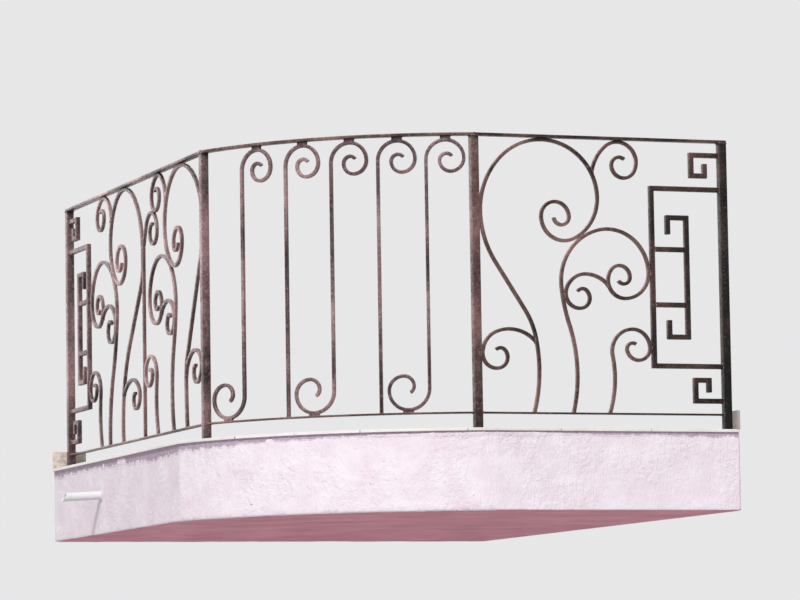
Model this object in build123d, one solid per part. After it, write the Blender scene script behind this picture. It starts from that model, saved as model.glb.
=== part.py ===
from build123d import *
from dataclasses import dataclass
from math import acos, asin, atan2, cos, degrees, hypot, radians, sin, sqrt
import os

# Corner balcony: a cantilevered stucco slab with an edge of stone tiles, and a wrought iron
# railing of two straight scrollwork panels joined by a bowed one. Millimetres, Z up.
# X runs to the right along the house wall, Y into the house, and the origin is the centre
# of the slab's back face. The slab's right face lies against a side wall.

# Plan of the railing, between the centres of its posts
left_run = 1750
bow_across = 755
bow_forward = 645
bow_rise = 120
right_run = 915
wall_gap = 20

# Slab, and how far the tiles reach past the centre line of the rails
slab_height = 270
tile_thickness = 10
tile_overhang = 8
tile_margin_left = 66
tile_margin_front = 32
tile_margin_bow = 20
skirting_length = 130
skirting_height = 65
skirting_thickness = 10

# Drain spout in the slab's left face
spout_from_post = 615
spout_below_floor = 135
spout_diameter = 32
spout_wall = 2
spout_reach = 150
spout_inlet = 60
spout_lip = 20
spout_slope = 3

# Heights above the tiles
rail_height = 1000
low_rail_height = 54

# Bars
post_size = 28
top_rail_width = 28
top_rail_thickness = 10
low_rail_width = 25
low_rail_thickness = 6
scroll_bar = 12
key_bar = 17
contact_gap = 0.3

# Greek key beside each wall post, as distances from the post's centre
key_bracket_reach = 267.5
key_core_reach = 139
key_core_return = 208.5
key_core_leg = 58
key_arm_spacing = 100
key_link_spacing = 191
hook_reach = 116
hook_return = 66
hook_below_rail = 43.5
hook_height = 71.5
hook_end = 42
hook_to_bracket = 47.5

# Bars of the bowed panel: their places as shares of the bow, which volutes they have, and pads
bow_bar_places = [0.182, 0.359, 0.5245, 0.6845, 0.8435]
volute_foot_bars = [0, 2, 4]
bow_pad_length = 36
bow_top_pad = 8
bow_foot_pad = 4

# Widths, height and length of rail to which the curls below are drawn
right_drawn_width = 625
left_drawn_width = 724
drawn_height = 936
drawn_bow = 1031

# Curls as (radius, turn in degrees) from the near side over the crown to the far side and in.
# A stem runs down from the near side: it leans away, turns back over the foot and stands.
MIDDLE_RISE = [(184, 75), (148, 15)]
MIDDLE_FALL = [(148, 90)]
MIDDLE_CURL = [(89, 90), (61, 127), (38, 151), (23, 141)]
SMALL_RISE = [(77, 90)]
SMALL_FALL = [(63, 90)]
SMALL_CURL = [(43, 166), (21, 140)]
BOW_RISE = [(66, 90)]
BOW_CURL = [(62, 90), (45, 90), (37, 90), (24, 90), (20, 60)]
BOW_FOOT = [(72, 90), (64, 90), (50, 90), (34, 90), (26, 60)]

# Branches leave where their parent bar points along a heading; 0 is along the rail, 90 is up
TOP_BRANCH_PLACE = -64
MIDDLE_BRANCH_HEADING = 130
MIDDLE_BRANCH = [(111, -49), (74, -75), (49, -116), (35, -125), (22, -99)]
LINK_HEADING = 115
LINK_RUN = 80
LINK_CROWN = [(75, 65)]
LINK_CURL = [(70, 90), (46, 90), (44, 90), (30, 110)]

MIDDLE_SHOULDER = 5
MIDDLE_LEAN_RADIUS = 585
MIDDLE_FOOT_RADIUS = 543
SMALL_CROWN_HEIGHT = 287
SMALL_LEAN = 11
SMALL_FOOT_RADIUS = 377


@dataclass
class Group:
    """One group of scrolls, as the smith bent it for the clear width it is drawn to.

    A gap is kept to the upright beside a curl. The drop is a plumb stretch under the great
    scroll's near side, and the low height is where the low branch leaves its stem.
    """

    width: float
    great_drop: float
    great_lean: tuple
    great_knee: tuple
    great_foot: tuple
    great_rise: list
    great_fall: list
    great_curl: list
    top_heading: float
    top_rise: list
    top_fall: list
    top_curl: list
    low_height: float
    low_heading: float
    low_back: list
    low_curl: list
    low_gap: float
    middle_size: float
    middle_curl_size: float
    middle_gap: float
    middle_lean: float
    middle_branch_place: float


RIGHT_GROUP = Group(
    width=right_drawn_width,
    great_drop=0,
    great_lean=(320, 33),
    great_knee=(270, 22),
    great_foot=(550, 26.6),
    great_rise=[(260, 45), (215, 45)],
    great_fall=[(204, 45), (190, 45)],
    great_curl=[(157, 65), (82, 115), (51, 180), (28, 173)],
    top_heading=82,
    top_rise=[(155, 40), (74, 42)],
    top_fall=[(69, 119)],
    top_curl=[(45, 146), (29, 137)],
    low_height=289,
    low_heading=130,
    low_back=[(123, -71), (77, -69)],
    low_curl=[(47, -104), (36, -109), (22, -100)],
    low_gap=contact_gap,
    middle_size=1.0,
    middle_curl_size=1.0,
    middle_gap=contact_gap,
    middle_lean=18,
    middle_branch_place=109,
)
LEFT_FRONT_GROUP = Group(
    width=left_drawn_width,
    great_drop=0,
    great_lean=(270, 27),
    great_knee=(200, 27),
    great_foot=(1400, 6.8),
    great_rise=[(212, 45), (286, 45)],
    great_fall=[(193, 90)],
    great_curl=[(163, 65), (82, 115), (51, 180), (28, 173)],
    top_heading=86,
    top_rise=[(123, 44), (71, 42)],
    top_fall=[(84, 60), (52, 60)],
    top_curl=[(45, 146), (29, 137)],
    low_height=234,
    low_heading=106,
    low_back=[(115, -74), (90, -40), (45, -50)],
    low_curl=[(46, -10), (62, -60), (39, -100), (23, -110)],
    low_gap=27,
    middle_size=1.0,
    middle_curl_size=1.0,
    middle_gap=60,
    middle_lean=18,
    middle_branch_place=122,
)
LEFT_BACK_GROUP = Group(
    width=left_drawn_width,
    great_drop=40,
    great_lean=(140, 38),
    great_knee=(475, 25),
    great_foot=(475, 21),
    great_rise=[(275, 45), (228, 45)],
    great_fall=[(176, 45), (196, 45)],
    great_curl=[(165, 58), (80, 122), (58, 180), (32, 173)],
    top_heading=86,
    top_rise=[(118, 44), (108, 42)],
    top_fall=[(98, 60), (47, 60)],
    top_curl=[(48, 146), (29, 137)],
    low_height=225,
    low_heading=135,
    low_back=[(178, -45), (115, -50), (38, -40)],
    low_curl=[(50, -90), (36, -100), (22, -100)],
    low_gap=53,
    middle_size=1.09,
    middle_curl_size=1.0,
    middle_gap=30,
    middle_lean=24,
    middle_branch_place=135,
)

# Places worked out from the sizes
floor_level = slab_height / 2 + tile_thickness
rail_under = rail_height - top_rail_thickness
height_share = (rail_under - low_rail_height) / drawn_height
post_half = post_size / 2
bar_half = scroll_bar / 2
wall_to_post = wall_gap + post_half
body_margin_left = tile_margin_left - tile_overhang
body_width = body_margin_left + bow_across + right_run + wall_to_post
side_wall_x = body_width / 2
body_left_x = -side_wall_x
tile_left_x = body_left_x - tile_overhang

corner_x = body_left_x + body_margin_left
front_x = corner_x + bow_across
wall_right_x = front_x + right_run
wall_left_y = -wall_to_post
corner_y = wall_left_y - left_run
front_y = corner_y - bow_forward

chord = hypot(bow_across, bow_forward)
chord_angle = -degrees(atan2(bow_forward, bow_across))
bow_radius = (chord**2 / 4 + bow_rise**2) / (2 * bow_rise)
bow_half_angle = degrees(asin(chord / 2 / bow_radius))
bow_length = 2 * radians(bow_half_angle) * bow_radius
bow_start_heading = chord_angle - bow_half_angle
bow_end_heading = chord_angle + bow_half_angle
bow_centre_x = corner_x - bow_radius * sin(radians(bow_start_heading))
bow_centre_y = corner_y + bow_radius * cos(radians(bow_start_heading))

corner_post_at = Vector(corner_x, corner_y, floor_level)
front_post_at = Vector(front_x, front_y, floor_level)
left_panel = Plane(origin=corner_post_at, x_dir=(0, 1, 0), z_dir=(1, 0, 0))
right_panel = Plane(origin=front_post_at, x_dir=(1, 0, 0), z_dir=(0, -1, 0))


class Arc:
    """A stretch of a bar's centre line that turns, clockwise where the turn is positive."""

    def __init__(self, start, heading, radius, turn):
        self.start = start
        self.heading = heading
        self.radius = radius
        self.turn = turn
        self.side = 1 if turn > 0 else -1
        angle = radians(heading)
        self.centre = (
            start[0] + self.side * radius * sin(angle),
            start[1] - self.side * radius * cos(angle),
        )

    def at(self, share, offset=0):
        """Point at a share of the turn, moved to the left of the way along by the offset."""
        angle = radians(self.heading - self.turn * share)
        reach = self.radius + self.side * offset
        return (
            self.centre[0] - self.side * reach * sin(angle),
            self.centre[1] + self.side * reach * cos(angle),
        )

    def edge(self, offset):
        return ThreePointArc(self.at(0, offset), self.at(0.5, offset), self.at(1, offset))

    def end_heading(self):
        return self.heading - self.turn

    def share_at(self, heading):
        """Share of a clockwise turn at which the centre line points along the heading."""
        return (self.heading - heading) % 360 / self.turn

    def share_up_to(self, height):
        """Share of a rising turn at which the centre line comes to a height."""
        angle = degrees(acos((height - self.centre[1]) / (self.side * self.radius)))
        return (self.heading - angle) / self.turn

    def reversed(self):
        return Arc(self.at(1), self.end_heading() + 180, self.radius, -self.turn)


class Straight:
    """A straight stretch of a bar's centre line."""

    def __init__(self, start, heading, length):
        self.start = start
        self.heading = heading
        self.length = length

    def at(self, share, offset=0):
        angle = radians(self.heading)
        return (
            self.start[0] + self.length * share * cos(angle) - offset * sin(angle),
            self.start[1] + self.length * share * sin(angle) + offset * cos(angle),
        )

    def edge(self, offset):
        return Line(self.at(0, offset), self.at(1, offset))

    def end_heading(self):
        return self.heading

    def share_up_to(self, height):
        return (height - self.start[1]) / (self.length * sin(radians(self.heading)))

    def reversed(self):
        return Straight(self.at(1), self.heading + 180, self.length)


def walk(start, heading, steps):
    """Centre line from a start: a step is (radius, turn), or one length for a straight."""
    legs = []
    for step in steps:
        if isinstance(step, tuple):
            leg = Arc(start, heading, *step)
        else:
            leg = Straight(start, heading, step)
        legs.append(leg)
        start = leg.at(1)
        heading = leg.end_heading()
    return legs


def reverse(legs):
    return [leg.reversed() for leg in reversed(legs)]


def scaled(steps, size):
    """The same steps with their radii multiplied."""
    return [(radius * size, turn) for radius, turn in steps]


def mirrored(steps):
    """The same steps with their turns the other way."""
    return [(radius, -turn) for radius, turn in steps]


def span(heading, steps):
    """How far the steps carry the centre line along and up."""
    return walk((0, 0), heading, steps)[-1].at(1)


def bar_face(legs, width=scroll_bar):
    """Outline of a bar of this width along its centre line."""
    half = width / 2
    sides = [leg.edge(half) for leg in legs] + [leg.edge(-half) for leg in legs]
    start_cap = Line(legs[0].at(0, half), legs[0].at(0, -half))
    end_cap = Line(legs[-1].at(1, half), legs[-1].at(1, -half))
    return make_face(sides + [start_cap, end_cap])


def rectangle(low, high):
    """Flat rectangle between two opposite corners."""
    middle = Pos((low[0] + high[0]) / 2, (low[1] + high[1]) / 2)
    return middle * Rectangle(high[0] - low[0], high[1] - low[1])


def largest(shape):
    return shape.faces().sort_by(SortBy.AREA)[-1]


def on_low_rail(legs):
    """Bar outline cut level where its foot stands on the low rail."""
    foot_x = legs[0].at(0)[0]
    below = rectangle(
        (foot_x - 4 * scroll_bar, low_rail_height - 4 * scroll_bar),
        (foot_x + 4 * scroll_bar, low_rail_height),
    )
    return largest(bar_face(legs) - below)


def off_parent(legs, parent):
    """Branch outline cut back to the side of the bar that it leaves."""
    return largest(bar_face(legs) - bar_face(parent, scroll_bar + 2 * contact_gap))


def bar_solid(panel, face, thickness=scroll_bar):
    return extrude(panel * face, amount=thickness / 2, both=True)


def height_touching(arc, x, radius):
    """Height of a centre below an arc, for a curl that touches the arc from outside."""
    reach = arc.radius + radius + scroll_bar + contact_gap
    return arc.centre[1] - sqrt(reach**2 - (x - arc.centre[0]) ** 2)


def great_scroll(group, size, near_face):
    """Centre line of a great scroll: crown under the top rail, near side at its upright."""
    near_x = near_face + contact_gap + bar_half
    rise = scaled(group.great_rise, size)
    near_z = rail_under - contact_gap - bar_half - span(90, rise)[1]
    lean = group.great_lean[1]
    bend = [(group.great_lean[0] * size, -lean)]
    foot = scaled([group.great_knee, group.great_foot], size)
    drop = group.great_drop * size
    curved = -span(-90, bend)[1] - span(lean - 90, foot)[1]
    slope = (near_z - low_rail_height - drop - curved) / cos(radians(lean))
    stem = bend + [slope] + foot + [scroll_bar]
    if drop:
        stem = [drop] + stem
    head = rise + scaled(group.great_fall + group.great_curl, size)
    return reverse(walk((near_x, near_z), -90, stem)) + walk((near_x, near_z), 90, head)


def foot_turn(radius, lean, height):
    """Turn that takes a foot arc from its lean down through a height."""
    return lean + degrees(asin(height / radius - sin(radians(lean))))


def middle_scroll(group, size, far_face, great):
    """Centre line of a middle scroll: it hangs on the outside of the great scroll's curl."""
    own = size * group.middle_size
    rise = scaled(MIDDLE_RISE, own)
    fall = scaled(MIDDLE_FALL, size * group.middle_curl_size)
    curl = scaled(MIDDLE_CURL, size * group.middle_curl_size)
    far_x = far_face - group.middle_gap * size - bar_half
    near_x = far_x - span(90, rise + fall)[0]
    shoulder = rise[0][0]
    great_far = great[-len(group.great_curl)]
    near_z = height_touching(great_far, near_x + shoulder, shoulder)
    lean = group.middle_lean - MIDDLE_SHOULDER
    bend = [(shoulder, -MIDDLE_SHOULDER), (MIDDLE_LEAN_RADIUS * own, -lean)]
    height = near_z + span(-90, bend)[1] - low_rail_height
    radius = MIDDLE_FOOT_RADIUS * own
    turn = foot_turn(radius, group.middle_lean, height)
    stem = bend + [(radius, turn), scroll_bar]
    head = rise + fall + curl
    return reverse(walk((near_x, near_z), -90, stem)) + walk((near_x, near_z), 90, head)


def small_scroll(size, far_face):
    """Centre line of a small scroll, which stands at the upright past the group."""
    rise = scaled(SMALL_RISE, size)
    fall = scaled(SMALL_FALL, size)
    far_x = far_face - contact_gap - bar_half
    near_x = far_x - span(90, rise + fall)[0]
    near_z = low_rail_height + SMALL_CROWN_HEIGHT * height_share - span(90, rise)[1]
    bend = [(rise[0][0], -SMALL_LEAN)]
    height = near_z + span(-90, bend)[1] - low_rail_height
    radius = SMALL_FOOT_RADIUS * size
    stem = bend + [(radius, foot_turn(radius, SMALL_LEAN, height)), scroll_bar]
    head = rise + fall + scaled(SMALL_CURL, size)
    return reverse(walk((near_x, near_z), -90, stem)) + walk((near_x, near_z), 90, head)


def top_branch(group, great):
    """Curl that leaves the great scroll's far side and rises to the top rail."""
    fall = great[-len(group.great_curl) - 1]
    start = fall.at(fall.share_at(TOP_BRANCH_PLACE))
    height = rail_under - contact_gap - bar_half - start[1]
    own = height / span(group.top_heading, group.top_rise)[1]
    steps = scaled(group.top_rise + group.top_fall + group.top_curl, own)
    return walk(start, group.top_heading, steps)


def low_branch(group, great, near_face):
    """Curl that leaves the great scroll's stem and turns back to its upright."""
    height = low_rail_height + (group.low_height - low_rail_height) * height_share
    leg = next(leg for leg in great if leg.at(1)[1] > height)
    start = leg.at(leg.share_up_to(height))
    reach = start[0] - near_face - group.low_gap - bar_half
    own = reach / -span(group.low_heading, group.low_back)[0]
    return walk(start, group.low_heading, scaled(group.low_back + group.low_curl, own))


def size_inside(stem, start, centre, radius):
    """Scale at which a curl touches the hollow side of a stem's arc.

    The curl is drawn from its start, and at full size its near arc has this centre, seen from
    the start, and this radius.
    """
    limit = stem.radius - scroll_bar - contact_gap
    away = (start[0] - stem.centre[0], start[1] - stem.centre[1])
    a = centre[0] ** 2 + centre[1] ** 2 - radius**2
    b = away[0] * centre[0] + away[1] * centre[1] + limit * radius
    c = away[0] ** 2 + away[1] ** 2 - limit**2
    return (sqrt(b**2 - a * c) - b) / a


def middle_branch(group, middle):
    """Curl that leaves the middle scroll's curl and turns back to its stem."""
    inner = middle[-len(MIDDLE_CURL) + 1]
    leaning_stem = middle[2]
    start = inner.at(inner.share_at(group.middle_branch_place))
    near = walk((0, 0), MIDDLE_BRANCH_HEADING, MIDDLE_BRANCH)[2]
    own = size_inside(leaning_stem, start, near.centre, near.radius)
    return walk(start, MIDDLE_BRANCH_HEADING, scaled(MIDDLE_BRANCH, own))


def link_scroll(size, bar_x, above):
    """Curl that leaves the plain bar under a top branch and touches its lowest turn."""
    crown = mirrored(scaled(LINK_CROWN, size))
    curl = mirrored(scaled(LINK_CURL, size))
    steps = [LINK_RUN * size] + crown + curl
    first_turn = len(LINK_CROWN) + 1
    offset = walk((0, 0), LINK_HEADING, steps)[first_turn].centre
    low_turn = above[-2]
    height = height_touching(low_turn, bar_x + offset[0], LINK_CURL[0][0] * size)
    return walk((bar_x, height - offset[1]), LINK_HEADING, steps)


def scroll_group(panel, group, near_face, far_face, place):
    """The three scrolls and three branches between two uprights of a straight panel."""
    size = (far_face - near_face) / group.width
    great = great_scroll(group, size, near_face)
    middle = middle_scroll(group, size, far_face, great)
    small = small_scroll(size, far_face)
    top = top_branch(group, great)
    faces = {
        "great_scroll": on_low_rail(great),
        "middle_scroll": on_low_rail(middle),
        "small_scroll": on_low_rail(small),
        "top_branch": off_parent(top, great),
        "low_branch": off_parent(low_branch(group, great, near_face), great),
        "middle_branch": off_parent(middle_branch(group, middle), middle),
    }
    for name, face in faces.items():
        parts[f"{name}_{place}"] = bar_solid(panel, face)
    return top


def key_strip(run, start, end):
    """One bar of a Greek key between two points given by reach and height."""
    half = key_bar / 2
    reaches = sorted([run - start[0], run - end[0]])
    heights = sorted([start[1], end[1]])
    return rectangle((reaches[0] - half, heights[0] - half), (reaches[1] + half, heights[1] + half))


def key_shape(run, points):
    """Greek key bar through its corners, trimmed at the face of the wall post."""
    face = key_strip(run, points[0], points[1])
    for start, end in zip(points[1:], points[2:]):
        face += key_strip(run, start, end)
    beyond = rectangle((run - post_half, -rail_height), (run + rail_height, 2 * rail_height))
    return face - beyond


def greek_key(panel, run, place):
    """Greek key of a panel: a bracket on the wall post, the core it carries, and two hooks."""
    middle = (rail_under + low_rail_height) / 2
    hook_arm = rail_under - hook_below_rail
    hook_low = hook_arm - hook_height
    bracket_arm = hook_low - hook_to_bracket
    core_arm = bracket_arm - key_arm_spacing
    half = key_bar / 2

    def flipped(points):
        return [(reach, 2 * middle - height) for reach, height in points]

    upper_bracket = [(0, bracket_arm), (key_bracket_reach, bracket_arm), (key_bracket_reach, middle)]
    upper_core = [
        (key_core_return, core_arm - key_core_leg + half),
        (key_core_return, core_arm),
        (key_core_reach, core_arm),
        (key_core_reach, middle),
    ]
    upper_hook = [
        (0, hook_arm),
        (hook_reach, hook_arm),
        (hook_reach, hook_low),
        (hook_return, hook_low),
        (hook_return, hook_low + hook_end - half),
    ]
    bracket = key_shape(run, upper_bracket) + key_shape(run, flipped(upper_bracket))
    core = key_shape(run, upper_core) + key_shape(run, flipped(upper_core))
    for side in (-1, 1):
        link_z = middle + side * key_link_spacing / 2
        core += rectangle(
            (run - key_bracket_reach + half, link_z - half),
            (run - key_core_reach, link_z + half),
        )
    parts[f"key_bracket_{place}"] = bar_solid(panel, bracket, key_bar)
    parts[f"key_core_{place}"] = bar_solid(panel, core, key_bar)
    hooks = [key_shape(run, upper_hook), key_shape(run, flipped(upper_hook))]
    parts[f"key_hooks_{place}"] = Compound([bar_solid(panel, hook, key_bar) for hook in hooks])


def bow_bar(place, volute_foot):
    """Bar of the bowed panel: a curl under the top rail, and a volute or a plain foot."""
    size = bow_length / drawn_bow
    rise = scaled(BOW_RISE, size)
    foot = scaled(BOW_FOOT, size)
    heading = radians(bow_start_heading + 2 * bow_half_angle * place)
    along = Vector(cos(heading), sin(heading), 0)
    out = Vector(sin(heading), -cos(heading), 0)
    origin = Vector(bow_centre_x, bow_centre_y, floor_level) + out * bow_radius
    panel = Plane(origin=origin, x_dir=along, z_dir=along.cross(Vector(0, 0, 1)))
    crown_z = rail_under - bow_top_pad - bar_half
    near_z = crown_z - rise[0][0]
    head = walk((0, near_z), 90, rise + scaled(BOW_CURL, size))
    if volute_foot:
        turn_z = low_rail_height + bow_foot_pad + bar_half + foot[0][0]
        stem = walk((0, near_z), -90, [near_z - turn_z] + foot)
    else:
        stem = walk((0, near_z), -90, [near_z - low_rail_height])
    face = bar_face(reverse(stem) + head)
    half_pad = bow_pad_length / 2
    crown_x = rise[0][0]
    face += rectangle((crown_x - half_pad, crown_z), (crown_x + half_pad, rail_under))
    if volute_foot:
        foot_x = -foot[0][0]
        foot_top = low_rail_height + bow_foot_pad + bar_half
        face += rectangle((foot_x - half_pad, low_rail_height), (foot_x + half_pad, foot_top))
    return bar_solid(panel, face)


def box_between(low, high):
    size = [high[i] - low[i] for i in range(3)]
    middle = [(high[i] + low[i]) / 2 for i in range(3)]
    return Pos(*middle) * Box(*size)


def plan_face(margin_left, margin_front, margin_bow):
    """Plan of the slab or its tiles: square at the walls, rounded where the rail bows."""
    left = corner_x - margin_left
    front = front_y - margin_front
    radius = bow_radius + margin_bow
    arc_start = (left, bow_centre_y - sqrt(radius**2 - (left - bow_centre_x) ** 2))
    arc_end = (bow_centre_x - sqrt(radius**2 - (front - bow_centre_y) ** 2), front)
    middle = radians((bow_start_heading + bow_end_heading) / 2 - 90)
    arc_top = (bow_centre_x + radius * cos(middle), bow_centre_y + radius * sin(middle))
    return make_face(
        [
            Line((left, 0), arc_start),
            ThreePointArc(arc_start, arc_top, arc_end),
            Line(arc_end, (side_wall_x, front)),
            Line((side_wall_x, front), (side_wall_x, 0)),
            Line((side_wall_x, 0), (left, 0)),
        ]
    )


def post(x, y):
    return box_between(
        (x - post_half, y - post_half, floor_level),
        (x + post_half, y + post_half, floor_level + rail_under),
    )


def bow_strip(width, low, high):
    """Flat bar along the bow, from the corner post's centre on to the front post's, and past."""
    spare = 2 * post_size
    overrun = degrees(spare / bow_radius)
    half = width / 2
    first = radians(bow_start_heading - 90 - overrun)
    last = radians(bow_end_heading - 90 + overrun)
    middle = (first + last) / 2

    def point(radius, angle):
        return (bow_centre_x + radius * cos(angle), bow_centre_y + radius * sin(angle))

    outer = bow_radius + half
    inner = bow_radius - half
    face = make_face(
        [
            ThreePointArc(point(outer, first), point(outer, middle), point(outer, last)),
            ThreePointArc(point(inner, first), point(inner, middle), point(inner, last)),
            Line(point(outer, first), point(inner, first)),
            Line(point(outer, last), point(inner, last)),
        ]
    )
    return extrude(Pos(0, 0, floor_level + low) * face, amount=high - low)


def mitre(x, y, heading_before, heading_after):
    """Plane through a post's centre that halves the turn of the rail there."""
    halfway = radians((heading_before + heading_after) / 2)
    return Plane(origin=(x, y, floor_level), z_dir=(cos(halfway), sin(halfway), 0))


def spout_axis():
    """Start of the spout at the slab's left face, and the plane that looks out along it."""
    origin = (body_left_x, wall_left_y - spout_from_post, floor_level - spout_below_floor)
    slope = radians(spout_slope)
    return Plane(origin=origin, x_dir=(0, 1, 0), z_dir=(-cos(slope), 0, -sin(slope)))


def drain_spout():
    """Plastic tube with an oblique mouth whose lower lip reaches further."""
    radius = spout_diameter / 2
    length = spout_inlet + spout_reach
    tube = Cylinder(radius, length) - Cylinder(radius - spout_wall, length)
    tube = spout_axis() * (Pos(0, 0, length / 2 - spout_inlet) * tube)
    tip = body_left_x - spout_reach + spout_lip / 2
    axis_drop = (spout_reach - spout_lip / 2) * sin(radians(spout_slope))
    tip_z = floor_level - spout_below_floor - axis_drop
    mouth = Plane(
        origin=(tip, wall_left_y - spout_from_post, tip_z),
        z_dir=(spout_diameter, 0, -spout_lip),
    )
    return split(tube, bisect_by=mouth, keep=Keep.TOP)


def spout_hole():
    hole = Cylinder(spout_diameter / 2 + contact_gap, 2 * spout_inlet)
    return spout_axis() * hole


parts = {}

# Slab, tiles and drain
slab_plan = plan_face(
    body_margin_left, tile_margin_front - tile_overhang, tile_margin_bow - tile_overhang
)
slab_body = extrude(Pos(0, 0, -slab_height / 2) * slab_plan, amount=slab_height)
parts["slab"] = slab_body - spout_hole()
tile_plan = plan_face(tile_margin_left, tile_margin_front, tile_margin_bow)
parts["floor_tiles"] = extrude(Pos(0, 0, slab_height / 2) * tile_plan, amount=tile_thickness)
tile_front_y = front_y - tile_margin_front
parts["skirting_tiles"] = Compound(
    [
        box_between(
            (tile_left_x, -skirting_thickness, floor_level),
            (tile_left_x + skirting_length, 0, floor_level + skirting_height),
        ),
        box_between(
            (side_wall_x - skirting_thickness, tile_front_y, floor_level),
            (side_wall_x, tile_front_y + skirting_length, floor_level + skirting_height),
        ),
    ]
)
parts["drain_spout"] = drain_spout()

# Posts
parts["post_wall_left"] = post(corner_x, wall_left_y)
parts["post_corner"] = post(corner_x, corner_y)
parts["post_front"] = post(front_x, front_y)
parts["post_wall_right"] = post(wall_right_x, front_y)

# Top rails run over the posts and are mitred where they turn
corner_mitre = mitre(corner_x, corner_y, -90, bow_start_heading)
front_mitre = mitre(front_x, front_y, bow_end_heading, 0)
rail_half = top_rail_width / 2
rail_low = floor_level + rail_under
rail_high = floor_level + rail_height
left_rail = box_between(
    (corner_x - rail_half, corner_y - post_size, rail_low),
    (corner_x + rail_half, wall_left_y + post_half, rail_high),
)
right_rail = box_between(
    (front_x - post_size, front_y - rail_half, rail_low),
    (wall_right_x + post_half, front_y + rail_half, rail_high),
)
bow_rail = bow_strip(top_rail_width, rail_under, rail_height)
bow_rail = split(bow_rail, bisect_by=corner_mitre, keep=Keep.TOP)
parts["top_rail_left"] = split(left_rail, bisect_by=corner_mitre, keep=Keep.BOTTOM)
parts["top_rail_bow"] = split(bow_rail, bisect_by=front_mitre, keep=Keep.BOTTOM)
parts["top_rail_right"] = split(right_rail, bisect_by=front_mitre, keep=Keep.TOP)

# Low rails run between the posts
low_half = low_rail_width / 2
low_under = low_rail_height - low_rail_thickness
low_low = floor_level + low_under
low_high = floor_level + low_rail_height
parts["low_rail_left"] = box_between(
    (corner_x - low_half, corner_y + post_half, low_low),
    (corner_x + low_half, wall_left_y - post_half, low_high),
)
low_bow = bow_strip(low_rail_width, low_under, low_rail_height)
low_bow = low_bow - parts["post_corner"] - parts["post_front"]
parts["low_rail_bow"] = low_bow.solids().sort_by(SortBy.VOLUME)[-1]
parts["low_rail_right"] = box_between(
    (front_x + post_half, front_y - low_half, low_low),
    (wall_right_x - post_half, front_y + low_half, low_high),
)

# Bowed panel
for number, place in enumerate(bow_bar_places):
    parts[f"bow_bar_{number + 1}"] = bow_bar(place, number in volute_foot_bars)

# Right panel: one group of scrolls and a Greek key
key_face = key_bracket_reach + key_bar / 2
scroll_group(right_panel, RIGHT_GROUP, post_half, right_run - key_face, "right")
greek_key(right_panel, right_run, "right")

# Left panel: two groups either side of a plain bar, and a Greek key
left_key_face = left_run - key_face
plain_x = (post_half + left_key_face) / 2
plain = rectangle((plain_x - bar_half, low_rail_height), (plain_x + bar_half, rail_under))
parts["plain_bar"] = bar_solid(left_panel, plain)
front_top = scroll_group(
    left_panel, LEFT_FRONT_GROUP, post_half, plain_x - bar_half, "left_front"
)
scroll_group(left_panel, LEFT_BACK_GROUP, plain_x + bar_half, left_key_face, "left_back")
link_size = (plain_x - bar_half - post_half) / LEFT_FRONT_GROUP.width
link = link_scroll(link_size, plain_x, front_top)
plain_clear = rectangle(
    (plain_x - bar_half, low_rail_height),
    (plain_x + scroll_bar, rail_under),
)
parts["link_scroll_left_front"] = bar_solid(left_panel, largest(bar_face(link) - plain_clear))
greek_key(left_panel, left_run, "left")

os.makedirs("parts", exist_ok=True)
for name, part in parts.items():
    export_step(part, f"parts/{name}.step")
print(len(parts), "parts written")
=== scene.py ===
# %% [markdown]
# A corner balcony in wrought iron and stucco
#
# The real thing is a cantilevered concrete slab, stuccoed, with a thin edge of stone tiles, and a
# railing that was bent from square bars and welded together on the spot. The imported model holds
# every solid at its true size. This script dresses it: it rounds the edges of the bars, lays the
# weld beads, roughens the stucco and gives each surface its finish. All lengths are in metres.

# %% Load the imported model
from math import cos, degrees, pi, radians, sin

import bmesh
import bpy
from mathutils import Matrix, Vector, noise
from mathutils.bvhtree import BVHTree


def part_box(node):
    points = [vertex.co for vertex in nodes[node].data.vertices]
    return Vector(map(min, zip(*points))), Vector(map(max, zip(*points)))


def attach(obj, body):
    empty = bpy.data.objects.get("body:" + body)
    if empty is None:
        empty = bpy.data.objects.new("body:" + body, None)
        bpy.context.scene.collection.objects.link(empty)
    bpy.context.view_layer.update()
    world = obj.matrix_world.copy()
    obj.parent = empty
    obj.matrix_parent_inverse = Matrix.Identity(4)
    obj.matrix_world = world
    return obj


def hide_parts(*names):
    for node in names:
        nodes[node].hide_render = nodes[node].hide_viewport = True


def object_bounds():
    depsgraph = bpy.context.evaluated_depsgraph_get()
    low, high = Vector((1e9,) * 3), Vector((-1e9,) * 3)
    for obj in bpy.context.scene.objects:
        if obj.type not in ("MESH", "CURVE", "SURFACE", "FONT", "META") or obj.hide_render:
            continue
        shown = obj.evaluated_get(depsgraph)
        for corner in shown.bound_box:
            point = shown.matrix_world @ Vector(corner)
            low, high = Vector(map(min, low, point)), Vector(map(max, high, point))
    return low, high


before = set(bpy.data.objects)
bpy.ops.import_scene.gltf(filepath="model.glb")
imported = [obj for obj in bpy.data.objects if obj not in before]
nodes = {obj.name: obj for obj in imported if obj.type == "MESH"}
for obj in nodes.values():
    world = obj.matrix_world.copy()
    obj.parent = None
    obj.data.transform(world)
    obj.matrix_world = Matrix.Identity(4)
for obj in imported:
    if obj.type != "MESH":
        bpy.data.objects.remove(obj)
cad_low, cad_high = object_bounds()
print("nodes", len(nodes), "box", [round(v, 3) for v in cad_high - cad_low])

# %% [markdown]
# The camera stands far off, below the balcony and to its left, and looks up at it with a long lens.
# Such a lens flattens the picture, so the posts stay almost parallel. It could be aimed by hand
# with a Track To constraint, but its place and angles were solved from the posts and the rails, so
# they are stated as they are. A camera looks down its own -Z axis: a quarter turn about X makes it
# look ahead, and the other turns follow from there.

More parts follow.
